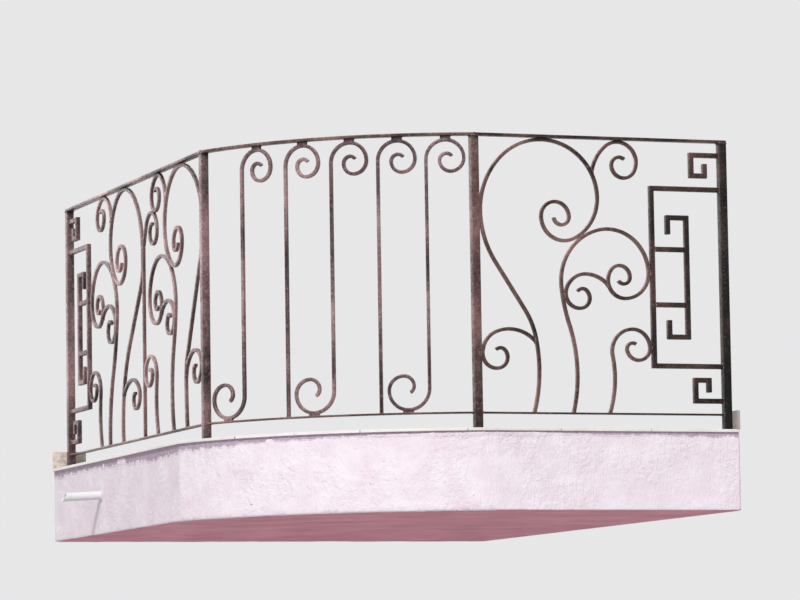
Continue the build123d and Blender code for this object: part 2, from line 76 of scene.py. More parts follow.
# %% Camera
CAMERA_PLACE = Vector((-5.1485, -15.749, -0.796))
CAMERA_YAW = 19.848
CAMERA_PITCH = 5.515
CAMERA_ROLL = -0.911
LENS = 191.25
FARTHEST_SEEN = 300

scene = bpy.context.scene
camera_data = bpy.data.cameras.new("long_lens")
camera_data.lens = LENS
camera_data.clip_end = FARTHEST_SEEN
camera = bpy.data.objects.new("long_lens", camera_data)
camera.matrix_world = (
    Matrix.Translation(CAMERA_PLACE)
    @ Matrix.Rotation(radians(-CAMERA_YAW), 4, "Z")
    @ Matrix.Rotation(radians(90 + CAMERA_PITCH), 4, "X")
    @ Matrix.Rotation(radians(CAMERA_ROLL), 4, "Z")
)
scene.collection.objects.link(camera)
scene.camera = camera
print("camera at", tuple(round(v, 2) for v in camera.location), "lens", LENS)

# %% [markdown]
# A real sky isn't even: it is brightest on the sun's side. An environment picture could give that,
# but a rule does it too. The dot product of a ray's direction and the bright side runs from -1,
# straight away from it, to 1, straight towards it. Map Range turns that number into a strength.

# %% A sky that is brighter on one side
scene.view_settings.view_transform = "Standard"
world = bpy.data.worlds.new("pale_sky")
world.use_nodes = True
scene.world = world
sky_tree = world.node_tree
sky_tree.nodes.clear()
ray_way = sky_tree.nodes.new("ShaderNodeTexCoord").outputs["Generated"]


def shaded_sky(bright_side, darkest, brightest):
    """A background whose strength grows towards its bright side."""
    facing = sky_tree.nodes.new("ShaderNodeVectorMath")
    facing.operation = "DOT_PRODUCT"
    facing.inputs[1].default_value = bright_side
    strength = sky_tree.nodes.new("ShaderNodeMapRange")
    strength.inputs["From Min"].default_value = -1
    strength.inputs["To Min"].default_value = darkest
    strength.inputs["To Max"].default_value = brightest
    background = sky_tree.nodes.new("ShaderNodeBackground")
    background.inputs["Color"].default_value = (1, 1, 1, 1)
    sky_tree.links.new(ray_way, facing.inputs[0])
    sky_tree.links.new(facing.outputs["Value"], strength.inputs["Value"])
    sky_tree.links.new(strength.outputs["Result"], background.inputs["Strength"])
    return background.outputs[0]


print("view transform", scene.view_settings.view_transform)

# %% [markdown]
# The world can show each kind of ray something else, and the Light Path node tells the kinds apart.
# The camera sees a plain pale backdrop. Rays that carry light see a soft sky. Mirror-like rays see
# it brighter behind the balcony than in front: that is what gives each bar a pale flank and a
# darker front, as the real iron has. Two Mix Shader nodes make the choice.

# %% What each kind of ray sees
SKY_BRIGHT_SIDE = Vector((-0.80, -0.25, 0.55)).normalized()
SKY_DARKEST = 0.12
SKY_BRIGHTEST = 0.72
SHEEN_BRIGHT_SIDE = Vector((-0.45, 0.75, 0.30)).normalized()
SHEEN_DARKEST = 0.30
SHEEN_BRIGHTEST = 2.0
BACKDROP_TONE = (0.80, 0.80, 0.81, 1)

soft_sky = shaded_sky(SKY_BRIGHT_SIDE, SKY_DARKEST, SKY_BRIGHTEST)
sheen = shaded_sky(SHEEN_BRIGHT_SIDE, SHEEN_DARKEST, SHEEN_BRIGHTEST)
backdrop = sky_tree.nodes.new("ShaderNodeBackground")
backdrop.inputs["Color"].default_value = BACKDROP_TONE
path = sky_tree.nodes.new("ShaderNodeLightPath")
seen = soft_sky
for kind, shown in (("Is Glossy Ray", sheen), ("Is Camera Ray", backdrop.outputs[0])):
    choice = sky_tree.nodes.new("ShaderNodeMixShader")
    sky_tree.links.new(path.outputs[kind], choice.inputs["Fac"])
    sky_tree.links.new(seen, choice.inputs[1])
    sky_tree.links.new(shown, choice.inputs[2])
    seen = choice.outputs[0]
sky_output = sky_tree.nodes.new("ShaderNodeOutputWorld")
sky_tree.links.new(seen, sky_output.inputs["Surface"])
print("sky nodes", len(sky_tree.nodes))

# %% [markdown]
# A sun from the upper left throws the short shadow of the tiles on the stucco and the spout's
# slanting one on the side. A Sun lamp's rays are parallel, so only its direction counts, not its
# place. Its angle is the size of the disc: a few degrees make the edges of the shadows soft, as
# studio light does.

# %% Sun
SUN_STRENGTH = 2.68
SUN_ANGLE = 4
SUN_DIRECTION = Vector((0.36, 0.62, -0.70))

sun_data = bpy.data.lights.new("soft_sun", "SUN")
sun_data.energy = SUN_STRENGTH
sun_data.angle = radians(SUN_ANGLE)
sun = bpy.data.objects.new("soft_sun", sun_data)
sun.rotation_euler = SUN_DIRECTION.to_track_quat("-Z", "Y").to_euler()
scene.collection.objects.link(sun)
print("sun strength", SUN_STRENGTH)

# %% [markdown]
# The floor is a wide pale plane, well below the slab because a balcony hangs in the air.

# %% Studio floor
FLOOR_TONE = (0.60, 0.60, 0.61, 1)
FLOOR_ROUGHNESS = 0.9
FLOOR_DROP = 2.6
FLOOR_SIZE = 120

bpy.ops.mesh.primitive_plane_add(size=FLOOR_SIZE, location=(0, 0, cad_low.z - FLOOR_DROP))
floor = bpy.context.object
floor.name = "studio_floor"
floor_paint = bpy.data.materials.new("studio_paint")
floor_paint.use_nodes = True
floor_shader = floor_paint.node_tree.nodes["Principled BSDF"]
floor_shader.inputs["Base Color"].default_value = FLOOR_TONE
floor_shader.inputs["Roughness"].default_value = FLOOR_ROUGHNESS
floor.data.materials.append(floor_paint)
print("floor at", round(floor.location.z, 2))

# %% [markdown]
# Every finish is a tree of nodes that ends in a Principled shader. Pictures would need to be
# wrapped round each bar, so all patterns here are worked out from the point's place instead. Object
# coordinates are the frame itself, so a scale of 100 means a grain of about one centimetre wherever
# the piece stands. A small class keeps the tree at hand and the wiring short.

# %% A finish under construction


class Finish:
    """A material being mixed, with object coordinates and a Principled shader."""

    def __init__(self, name, roughness, metallic=0.0, specular=0.5):
        self.material = bpy.data.materials.new(name)
        self.material.use_nodes = True
        self.tree = self.material.node_tree
        self.shader = self.tree.nodes["Principled BSDF"]
        self.shader.inputs["Roughness"].default_value = roughness
        self.shader.inputs["Metallic"].default_value = metallic
        self.shader.inputs["Specular IOR Level"].default_value = specular
        self.place = self.add("ShaderNodeTexCoord").outputs["Object"]

    def add(self, kind, **settings):
        node = self.tree.nodes.new(kind)
        for name, value in settings.items():
            setattr(node, name, value)
        return node

    def link(self, source, target):
        """Wires an output to a socket, or sets the socket where the source is a plain value."""
        if isinstance(source, (int, float)):
            target.default_value = source
        elif isinstance(source, tuple):
            target.default_value = (*source, 1)
        else:
            self.tree.links.new(source, target)

    def close(self, colour, normal, roughness=None):
        self.link(colour, self.shader.inputs["Base Color"])
        self.link(normal, self.shader.inputs["Normal"])
        if roughness is not None:
            self.link(roughness, self.shader.inputs["Roughness"])
        return self.material


print("finish class ready")

# %% [markdown]
# Two patterns carry all the finishes. Noise gives clouds, stains and streaks: more detail adds
# smaller ones, and distortion bends them. Voronoi gives cells, which read as hammer dents or sand.
# Both give a number at each point, and a soft window then picks out a part of its range, such as
# only the peaks.

# %% Patterns


def grain(finish, scale, detail=4, roughness=0.5, distortion=0.0, place=None):
    node = finish.add("ShaderNodeTexNoise")
    node.inputs["Scale"].default_value = scale
    node.inputs["Detail"].default_value = detail
    node.inputs["Roughness"].default_value = roughness
    node.inputs["Distortion"].default_value = distortion
    finish.link(place or finish.place, node.inputs["Vector"])
    return node.outputs["Fac"]


def dents(finish, scale, feature="F1"):
    node = finish.add("ShaderNodeTexVoronoi", feature=feature)
    node.inputs["Scale"].default_value = scale
    finish.link(finish.place, node.inputs["Vector"])
    return node.outputs["Distance"]


def window(finish, value, low, high, start=0.0, end=1.0):
    """The value between low and high, carried to start and end, with soft ends."""
    node = finish.add("ShaderNodeMapRange", interpolation_type="SMOOTHSTEP")
    node.inputs["From Min"].default_value = low
    node.inputs["From Max"].default_value = high
    node.inputs["To Min"].default_value = start
    node.inputs["To Max"].default_value = end
    finish.link(value, node.inputs["Value"])
    return node.outputs["Result"]


print("patterns: noise, cells and a soft window")

# %% [markdown]
# Masks are numbers from 0 to 1, and plain arithmetic joins them: a product keeps what both have,
# and the larger of two keeps what either has. Each sum is one Math node.

# %% Arithmetic with masks


def reckon(finish, operation, first, second):
    node = finish.add("ShaderNodeMath", operation=operation)
    finish.link(first, node.inputs[0])
    finish.link(second, node.inputs[1])
    return node.outputs[0]


def times(finish, first, second):
    return reckon(finish, "MULTIPLY", first, second)


def plus(finish, first, second):
    return reckon(finish, "ADD", first, second)


def larger(finish, first, second):
    return reckon(finish, "MAXIMUM", first, second)


print("arithmetic: times, plus and larger")

# %% [markdown]
# Paint goes on in layers, and so do the colours here. A ramp turns a number into the ground colour,
# and each further colour is laid over what is there already, where its mask says.

# %% Colours


def ramp(finish, value, stops):
    """Colour that runs through (position, colour) stops as the value grows."""
    node = finish.add("ShaderNodeValToRGB")
    band = node.color_ramp
    while len(band.elements) < len(stops):
        band.elements.new(0.5)
    for element, (position, colour) in zip(band.elements, stops):
        element.position = position
        element.color = (*colour, 1)
    finish.link(value, node.inputs["Fac"])
    return node.outputs["Color"]


def over(finish, below, above, mask):
    """Colour above laid over the colour below where the mask says."""
    node = finish.add("ShaderNodeMix", data_type="RGBA")
    finish.link(mask, node.inputs["Factor"])
    finish.link(below, node.inputs["A"])
    finish.link(above, node.inputs["B"])
    return node.outputs["Result"]


print("colours: a ramp and a layer")

# %% [markdown]
# Fine relief is a bump: it tilts the light without moving the surface, and the depth is a real
# length. Worn edges could be painted by hand, but the Bevel node finds them: it gives the normal
# that a rounded edge would have, and where that leans away from the true normal, an edge is near.

# %% Relief and worn edges
FLAT_MATCH = 0.995
EDGE_MATCH = 0.9


def bump(finish, height, depth, under=None):
    node = finish.add("ShaderNodeBump")
    node.inputs["Distance"].default_value = depth
    finish.link(height, node.inputs["Height"])
    if under is not None:
        finish.link(under, node.inputs["Normal"])
    return node.outputs["Normal"]


def worn_edges(finish, reach):
    """1 on edges that hands and weather polish, 0 on flat faces."""
    bevel = finish.add("ShaderNodeBevel", samples=4)
    bevel.inputs["Radius"].default_value = reach
    geometry = finish.add("ShaderNodeNewGeometry")
    match = finish.add("ShaderNodeVectorMath", operation="DOT_PRODUCT")
    finish.link(bevel.outputs["Normal"], match.inputs[0])
    finish.link(geometry.outputs["True Normal"], match.inputs[1])
    return window(finish, match.outputs["Value"], FLAT_MATCH, EDGE_MATCH)


print("relief and worn edges ready")

# %% [markdown]
# The iron was painted almost black and then rubbed with a bronze paste, to bring the hammer work
# out. Three colours tell it: the dark ground, the half rubbed brown and the pale paste. Broad
# clouds carry the ground from one to the next, because the rag was full at one end of a bar and
# nearly dry at the other. Streaks of paste lie over it, and the edges caught the most.

# %% Iron: the rubbed coat
CLOUD_SCALE, CLOUD_SHARE = 4.5, 0.62
DUST_SCALE, DUST_SHARE = 130, 0.38
GROUND_STOPS = (0.40, 0.50, 0.64)
STREAKS_FULL = 0.70
STREAK_COVER = 0.65
EDGE_REACH = 0.0025
EDGE_COVER = 0.6


def rubbed_coat(iron, palette, paste, rubbed_low):
    """Ground clouds with streaks of paste from a threshold upwards, and rubbed edges."""
    clouds = grain(iron, CLOUD_SCALE, detail=3, roughness=0.55)
    dust = grain(iron, DUST_SCALE, detail=6, roughness=0.7)
    tone = plus(iron, times(iron, clouds, CLOUD_SHARE), times(iron, dust, DUST_SHARE))
    ground = ramp(iron, tone, list(zip(GROUND_STOPS, palette)))
    streaks = times(iron, window(iron, paste, rubbed_low, STREAKS_FULL), STREAK_COVER)
    edges = times(iron, worn_edges(iron, EDGE_REACH), EDGE_COVER)
    return over(iron, ground, palette[-1], larger(iron, streaks, edges))


print("ground stops", GROUND_STOPS)

# %% [markdown]
# Small accidents make the coat believable: patches where warm copper shows through, and pinpoints
# where the paste was chipped down to pale metal. Both come from noise of which only the peaks are
# kept.

# %% Iron: copper patches and pale specks
IRON_COPPER = (0.27, 0.120, 0.080)
IRON_PALE = (0.62, 0.50, 0.48)
ACCIDENT_COVER = 0.6


def with_accidents(iron, colour):
    copper = window(iron, grain(iron, 9, detail=6, roughness=0.65, distortion=0.8), 0.60, 0.72)
    colour = over(iron, colour, IRON_COPPER, times(iron, copper, ACCIDENT_COVER))
    specks = window(iron, grain(iron, 340, detail=3), 0.67, 0.74)
    return over(iron, colour, IRON_PALE, times(iron, specks, ACCIDENT_COVER))


print("copper", IRON_COPPER, "specks", IRON_PALE)

# %% [markdown]
# Just under the handrail the bars are black: welding burnt them there, and painted shade under the
# rail is laid in with the burn. Just above the tiles the bars are painted darker too. Both depend on
# the height alone, which is the point's own Z. The paste's noise is added to that height, so that
# the two zones end raggedly. The handrail itself, above the welds, stays clean.

# %% Iron: burnt and shaded heads, darker feet
IRON_BURN_AND_SHADE = (0.010, 0.009, 0.009)
RAIL_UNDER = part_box("top_rail_right")[0].z
FLOOR_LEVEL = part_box("floor_tiles")[1].z
BURN_AND_SHADE_HEIGHT = 0.018
DARK_FOOT_HEIGHT = 0.070
DARK_FOOT_SHARE = 0.7
DARKENING_COVER = 0.9
RAGGED = 0.03
RAIL_CLEAR = (0.0001, 0.0003)


def with_burn_shade_and_dark_feet(iron, colour, paste):
    place = iron.add("ShaderNodeSeparateXYZ")
    iron.link(iron.place, place.inputs[0])
    height = place.outputs["Z"]
    ragged = plus(iron, height, times(iron, paste, RAGGED))
    rail, ground = RAIL_UNDER + RAGGED / 2, FLOOR_LEVEL + RAGGED / 2
    # Painted shade: just under the handrail the black is part weld burn and part the shade under the
    # rail.
    near_rail = window(iron, ragged, rail - BURN_AND_SHADE_HEIGHT, rail)
    below_rail = window(iron, height, RAIL_UNDER - RAIL_CLEAR[0], RAIL_UNDER - RAIL_CLEAR[1])
    # Darker just above the tiles.
    near_ground = window(iron, ragged, ground + DARK_FOOT_HEIGHT, ground)
    burn_and_shade = times(iron, near_rail, below_rail)
    dark_mask = larger(iron, burn_and_shade, times(iron, near_ground, DARK_FOOT_SHARE))
    return over(iron, colour, IRON_BURN_AND_SHADE, times(iron, dark_mask, DARKENING_COVER))


print("burnt below", round(RAIL_UNDER, 3), "darkened above", round(FLOOR_LEVEL, 3))

# %% [markdown]
# The layers come together. Hammer dents are a soft cell pattern in the bump, with a fine scale on
# them, and where the paste is thick the iron is smoother. The railing wasn't rubbed evenly: its
# left side is rose, the bow a little darker, the right panel bronze, its key only a little rubbed
# and its last post hardly at all. The key and rails of the right panel are olive and the last post
# near black, darker partly as painted shade by the house wall. So there are five palettes, each
# with its dark, brown and rubbed colour.

# %% Iron: five finishes
ROSE_PALETTE = ((0.036, 0.024, 0.024), (0.145, 0.090, 0.091), (0.40, 0.250, 0.252))
UMBER_PALETTE = ((0.026, 0.017, 0.017), (0.098, 0.060, 0.061), (0.37, 0.232, 0.236))
BRONZE_PALETTE = ((0.024, 0.016, 0.014), (0.105, 0.062, 0.056), (0.30, 0.176, 0.162))
# Painted shade: the olive and black palettes are darkened partly for the shade on the right side.
OLIVE_SHADED_PALETTE = ((0.009, 0.008, 0.007), (0.030, 0.021, 0.019), (0.15, 0.080, 0.072))
BLACK_SHADED_PALETTE = ((0.004, 0.004, 0.004), (0.011, 0.009, 0.008), (0.07, 0.040, 0.036))
IRON_METAL = 0.6
HAMMER_DEPTH = 0.0008
SCALE_DEPTH = 0.0003


def wrought_iron(name, palette, rubbed_low=0.50, roughness=0.40):
    iron = Finish(name, roughness, metallic=IRON_METAL)
    paste = grain(iron, 60, detail=8, roughness=0.68, distortion=0.5)
    colour = rubbed_coat(iron, palette, paste, rubbed_low)
    colour = with_burn_shade_and_dark_feet(iron, with_accidents(iron, colour), paste)
    hammered = bump(iron, dents(iron, 95, "SMOOTH_F1"), HAMMER_DEPTH)
    scaly = bump(iron, grain(iron, 420, detail=5, roughness=0.7), SCALE_DEPTH, under=hammered)
    gloss = window(iron, paste, 0.35, 0.65, roughness + 0.12, roughness - 0.06)
    return iron.close(colour, scaly, gloss)


rose_iron = wrought_iron("rose_iron", ROSE_PALETTE)
umber_iron = wrought_iron("umber_iron", UMBER_PALETTE, rubbed_low=0.52)
bronze_iron = wrought_iron("bronze_iron", BRONZE_PALETTE)
olive_shaded_iron = wrought_iron("olive_shaded_iron", OLIVE_SHADED_PALETTE, rubbed_low=0.53)
black_shaded_iron = wrought_iron("black_shaded_iron", BLACK_SHADED_PALETTE, rubbed_low=0.58, roughness=0.46)
print("five iron finishes with", len(rose_iron.node_tree.nodes), "nodes each")

# %% [markdown]
# Each bar gets its finish by its name, which says what it is and on which side it stands. A list of
# all 41 bars would do the same, but a rule is shorter and also covers a bar that is added later.

# %% Which bar wears which iron


def iron_for(node):
    """The iron finish that a node wears, by its side of the balcony."""
    # Painted shade: the right key and rails and the last post wear the darker irons partly for the
    # shade there.
    if node == "post_wall_right":
        return black_shaded_iron
    if node.endswith("right") and node.startswith(("key", "top_rail", "low_rail")):
        return olive_shaded_iron
    if "bow_bar" in node:
        return umber_iron
    if "left" in node or "corner" in node:
        return rose_iron
    return bronze_iron


iron_nodes = [
    name for name in sorted(nodes)
    if name not in ("slab", "floor_tiles", "skirting_tiles", "drain_spout")
]
print("iron nodes", len(iron_nodes))

# %% [markdown]
# The stucco is a pale pink scratched render. Clouds of two close tones keep it from looking
# printed, and the hollows of its furrows are darkened as painted shade. Here and there a grain has
# fallen out and left a pit, darkened as painted shade too. The underside was painted a deeper rose,
# darker still as painted shade under the slab: the sign of the normal's Z tells it from the sides,
# which is simpler than a second material and has no seam.

# %% Stucco: its colours
STUCCO_LIGHT = (0.82, 0.745, 0.805)
STUCCO_DEEP_AND_SHADE = (0.76, 0.650, 0.712)
STUCCO_PIT_SHADE = (0.44, 0.34, 0.38)
SOFFIT_SHADED_LIGHT = (0.63, 0.25, 0.305)
SOFFIT_SHADED_DEEP = (0.46, 0.145, 0.195)
SOFFIT_SHADE_COVER = 0.9
HOLLOW_SHADE_COVER = 0.7


def stucco_colour(stucco, furrows, lost):
    """Colour of the render, with painted shade in its furrows, its pits and under the slab."""
    clouds = grain(stucco, 11, detail=6, roughness=0.62)
    colour = ramp(stucco, clouds, [(0.34, STUCCO_DEEP_AND_SHADE), (0.66, STUCCO_LIGHT)])
    # Painted shade: the underside's deeper rose is partly its paint and partly shade under the slab.
    normal = stucco.add("ShaderNodeSeparateXYZ")
    stucco.link(stucco.add("ShaderNodeNewGeometry").outputs["True Normal"], normal.inputs[0])
    faces_down = window(stucco, normal.outputs["Z"], -0.55, -0.95)
    stains = grain(stucco, 4.5, detail=8, roughness=0.68)
    shaded_soffit = ramp(stucco, stains, [(0.36, SOFFIT_SHADED_DEEP), (0.62, SOFFIT_SHADED_LIGHT)])
    colour = over(stucco, colour, shaded_soffit, times(stucco, faces_down, SOFFIT_SHADE_COVER))
    # Painted shade in the hollows of the furrows and in the pits of lost grains.
    shaded_hollows = window(stucco, furrows, 0.42, 0.28)
    colour = over(stucco, colour, STUCCO_DEEP_AND_SHADE, times(stucco, shaded_hollows, HOLLOW_SHADE_COVER))
    return over(stucco, colour, STUCCO_PIT_SHADE, lost)


print("stucco from", STUCCO_DEEP_AND_SHADE, "to", STUCCO_LIGHT)

# %% [markdown]
# The trowel dragged the render's coarse grains mostly downwards, so the grain noise is stretched
# along Z and looks like short vertical furrows. Lumps lie under the furrows, but only in rough
# patches, because no hand keeps the same pressure everywhere. Bumps are stacked from fine to
# coarse: each takes the one before it as its normal.

# %% Stucco: its relief
DRAG = (1, 1, 0.3)
GRIT_DEPTH = 0.0009
PIT_DEPTH = 0.003
LUMP_DEPTH = 0.005
FURROW_DEPTH = 0.003


def stretched(finish, along):
    """Object coordinates with each axis multiplied."""
    mapping = finish.add("ShaderNodeMapping")
    mapping.inputs["Scale"].default_value = along
    finish.link(finish.place, mapping.inputs["Vector"])
    return mapping.outputs["Vector"]


def dragged_stucco(name):
    stucco = Finish(name, 0.93, specular=0.2)
    furrows = grain(stucco, 150, detail=6, roughness=0.65, place=stretched(stucco, DRAG))
    lost = window(stucco, grain(stucco, 95, detail=4, roughness=0.65), 0.31, 0.25)
    colour = stucco_colour(stucco, furrows, lost)
    grit = bump(stucco, dents(stucco, 330), GRIT_DEPTH)
    pitted = bump(stucco, reckon(stucco, "SUBTRACT", 1, lost), PIT_DEPTH, under=grit)
    rough_patch = window(stucco, grain(stucco, 6, detail=3), 0.44, 0.60, 0.15, 1)
    lumps = times(stucco, grain(stucco, 60, detail=4, roughness=0.6), rough_patch)
    lumpy = bump(stucco, lumps, LUMP_DEPTH, under=pitted)
    return stucco.close(colour, bump(stucco, furrows, FURROW_DEPTH, under=lumpy))


stucco_finish = dragged_stucco("dragged_stucco")
print("stucco finish with", len(stucco_finish.node_tree.nodes), "nodes")

# %% [markdown]
# The floor is laid with pale honed tiles, whose edge shows all round as a thin line above the
# stucco. Noise alone would run on across the joints as if the floor were one stone, so part of each
# tile's tone is its own. The mesh will carry it as a number on its faces, and an Attribute node
# reads it here.

# %% Finish: honed tile
TILE_PALE = (0.76, 0.73, 0.70)
TILE_DEEP = (0.64, 0.60, 0.57)
TONE_LAYER = "tile_tone"
CLOUDS_IN_TILE = 0.6
OWN_TONE = 0.4
PORE_COVER = 0.6


def honed_tile(name):
    tile = Finish(name, 0.5, specular=0.4)
    clouds = grain(tile, 9, detail=6, roughness=0.62, distortion=0.8)
    own = tile.add("ShaderNodeAttribute", attribute_name=TONE_LAYER).outputs["Fac"]
    tone = plus(tile, times(tile, clouds, CLOUDS_IN_TILE), times(tile, own, OWN_TONE))
    colour = ramp(tile, tone, [(0.34, TILE_DEEP), (0.62, TILE_PALE)])
    pores = window(tile, grain(tile, 260, detail=3), 0.66, 0.72)
    colour = over(tile, colour, TILE_DEEP, times(tile, pores, PORE_COVER))
    return tile.close(colour, bump(tile, grain(tile, 180, detail=5), 0.0006))


tile_finish = honed_tile("honed_tile")
print("tile finish with", len(tile_finish.node_tree.nodes), "nodes")

# %% [markdown]
# The skirting is another stone, warmer and mottled, with pale veins. The piece on the right is
# greyer than the one on the left, and that grey is painted shade. Both wear one material, and the
# point's own X decides how much shade is painted: a second material would only repeat the first.

# %% Finish: mottled skirting
SKIRTING_LIGHT = (0.72, 0.63, 0.56)
SKIRTING_DARK = (0.38, 0.30, 0.24)
SKIRTING_SHADE_GREY = (0.26, 0.235, 0.235)
VEIN_COVER = 0.7
SHADE_GREY_COVER = 0.7


def mottled_stone(name):
    stone = Finish(name, 0.42, specular=0.45)
    mottle = grain(stone, 48, detail=7, roughness=0.7, distortion=0.3)
    colour = ramp(stone, mottle, [(0.34, SKIRTING_DARK), (0.60, SKIRTING_LIGHT)])
    veins = window(stone, grain(stone, 120, detail=4, distortion=0.6), 0.60, 0.70)
    colour = over(stone, colour, TILE_PALE, times(stone, veins, VEIN_COVER))
    # Painted shade: the piece on the right is greyed.
    side = stone.add("ShaderNodeSeparateXYZ")
    stone.link(stone.place, side.inputs[0])
    shaded_side = window(stone, side.outputs["X"], -0.2, 0.2)
    colour = over(stone, colour, SKIRTING_SHADE_GREY, times(stone, shaded_side, SHADE_GREY_COVER))
    return stone.close(colour, bump(stone, grain(stone, 300, detail=5), 0.0004))


skirting_finish = mottled_stone("mottled_skirting")
print("skirting finish with", len(skirting_finish.node_tree.nodes), "nodes")

# %% [markdown]
# Three things are sandy and dull: the mortar under the tiles, whose dark mauve is mostly the
# painted shadow of the tiles, the grout between them and the filler round the spout. They differ
# only in colour, so one recipe makes all three.

# %% Finishes: mortar with painted shadow, grout and filler
# Painted shadow: the mortar tones stand mostly for the shadow of the overhanging tiles.
MORTAR_AND_SHADOW_TONE = (0.33, 0.25, 0.32)
MORTAR_AND_SHADOW_PALE = (0.49, 0.39, 0.475)
GROUT_TONE = (0.33, 0.31, 0.29)
FILLER_TONE = (0.62, 0.54, 0.57)
FILLER_PALE = (0.76, 0.70, 0.72)
SAND_DEPTH = 0.0012


def sandy(name, light, dark):
    sand = Finish(name, 0.95, specular=0.2)
    colour = ramp(sand, grain(sand, 70, detail=7, roughness=0.7), [(0.35, dark), (0.65, light)])
    return sand.close(colour, bump(sand, grain(sand, 420, detail=5), SAND_DEPTH))


mortar_and_shadow_finish = sandy("edge_mortar_and_shadow", MORTAR_AND_SHADOW_PALE, MORTAR_AND_SHADOW_TONE)
grout_finish = sandy("floor_grout", MORTAR_AND_SHADOW_PALE, GROUT_TONE)
filler_finish = sandy("spout_filler", FILLER_PALE, FILLER_TONE)
print("sandy finishes: mortar, grout and filler")

# %% [markdown]
# The spout is a piece of white plastic pipe. Plastic has no grain of its own, so what makes it real
# is what lies on it: faint smears of grime from distorted noise, and a soft sheen.

# %% Finish: weathered plastic
PLASTIC_TONE = (0.67, 0.67, 0.67)
PLASTIC_GRIME = (0.50, 0.46, 0.42)
GRIME_COVER = 0.55


def weathered_plastic(name):
    plastic = Finish(name, 0.38)
    grime = window(plastic, grain(plastic, 26, detail=6, distortion=0.8), 0.54, 0.75)
    colour = over(plastic, PLASTIC_TONE, PLASTIC_GRIME, times(plastic, grime, GRIME_COVER))
    return plastic.close(colour, bump(plastic, grain(plastic, 90, detail=4), 0.0003))


plastic_finish = weathered_plastic("weathered_plastic")
print("plastic finish with", len(plastic_finish.node_tree.nodes), "nodes")

# %% [markdown]
# New meshes are made with bmesh, Blender's editable form of a mesh. This helper turns one into an
# object that rides on the balcony's only body and wears a finish. Smooth shading with sharp edges
# above an angle keeps curved bars round and their corners crisp.

# %% A helper for pieces


def piece_from(editable, name, finish, smooth_angle=30):
    mesh = bpy.data.meshes.new(name)
    editable.to_mesh(mesh)
    editable.free()
    made = bpy.data.objects.new(name, mesh)
    scene.collection.objects.link(made)
    mesh.materials.append(finish)
    mesh.polygons.foreach_set("use_smooth", [True] * len(mesh.polygons))
    mesh.set_sharp_from_angle(angle=radians(smooth_angle))
    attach(made, "root")
    return made


print("pieces ride on root")

# %% [markdown]
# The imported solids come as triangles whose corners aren't joined. A copy with its corners merged
# can be edited like any mesh. Three small tools work on it: one finds its sharp edges, one joins
# flat triangles into whole faces, and one cuts it by a plane and closes the cut, which keeps it
# solid.

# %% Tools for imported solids
MERGE = 0.00002
FLAT_TURN = 0.3


def merged_copy(node):
    solid = bmesh.new()
    solid.from_mesh(nodes[node].data)
    bmesh.ops.remove_doubles(solid, verts=solid.verts, dist=MERGE)
    return solid


def sharp_edges(solid, turn):
    limit = radians(turn)
    return [e for e in solid.edges if len(e.link_faces) == 2 and e.calc_face_angle(0) > limit]


def flatten(solid):
    bmesh.ops.dissolve_limit(
        solid, angle_limit=radians(FLAT_TURN), verts=solid.verts, edges=solid.edges
    )


def slice_off(solid, spot, outside):
    """Cuts at a plane through the spot, drops what lies outside and closes the cut."""
    whole = solid.verts[:] + solid.edges[:] + solid.faces[:]
    cut = bmesh.ops.bisect_plane(
        solid, geom=whole, plane_co=spot, plane_no=outside, clear_outer=True
    )
    rim = [e for e in cut["geom_cut"] if isinstance(e, bmesh.types.BMEdge)]
    if rim:
        bmesh.ops.holes_fill(solid, edges=rim)


print("tools for solids ready")

# %% [markdown]
# The upright that halves the left panel never reaches the handrail: it bends over into the link
# scroll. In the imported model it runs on, up to the rail. So its copy will be cut along the line of
# the scroll's back, and the two read as one bar. The place of the bend is measured, not typed: it
# is the highest point where the scroll's root touches the upright.

# %% Where the upright bends over
UPRIGHT = "plain_bar"
SCROLL_ABOVE = "link_scroll_left_front"
BEND_LEAN = 25
ROOT_REACH = 0.08
ROOT_TOUCH = 0.0002

upright_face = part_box(UPRIGHT)[0].y
root_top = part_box(SCROLL_ABOVE)[0].z + ROOT_REACH
bend_height = max(
    v.co.z for v in nodes[SCROLL_ABOVE].data.vertices
    if abs(v.co.y - upright_face) < ROOT_TOUCH and v.co.z < root_top
)
bend_point = Vector((0, upright_face, bend_height))
bend_side = Vector((0, cos(radians(BEND_LEAN)), sin(radians(BEND_LEAN))))
print("the upright bends over at", round(bend_height, 3))

# %% [markdown]
# A forged bar has no knife edge: its corners are rounded by a millimetre or two, and that thin line
# is what glints in the sun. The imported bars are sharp, so each is copied, flattened and beveled.
# The Bevel modifier could do it too, but it would also catch the seams between triangles.

# %% Bars with rounded edges
BAR_EDGE = 0.0020
SHARP_TURN = 35


def forged_copy(node):
    """Editable copy of a packed bar with its sharp edges rounded."""
    solid = merged_copy(node)
    flatten(solid)
    if node == UPRIGHT:
        slice_off(solid, bend_point, bend_side)
    bmesh.ops.bevel(
        solid, geom=sharp_edges(solid, SHARP_TURN), offset=BAR_EDGE, segments=3, profile=0.5,
        affect="EDGES", clamp_overlap=True,
    )
    return solid


corner_count = 0
for name in iron_nodes:
    bar = piece_from(forged_copy(name), f"forged_{name}", iron_for(name))
    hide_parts(name)
    corner_count += len(bar.data.vertices)
print("bars rounded", len(iron_nodes), "vertices", corner_count)

# %% [markdown]
# Nothing on this railing is riveted: every touch is an electric weld, a row of small beads in the
# corner between two bars. The touches are found, not listed, so a weld can't be forgotten. For
# that, each bar's edges are walked in short steps, and each bar's surface goes into a BVH tree,
# which answers quickly how near a point is.

# %% Steps along edges, and surfaces to measure to
STEP = 0.004


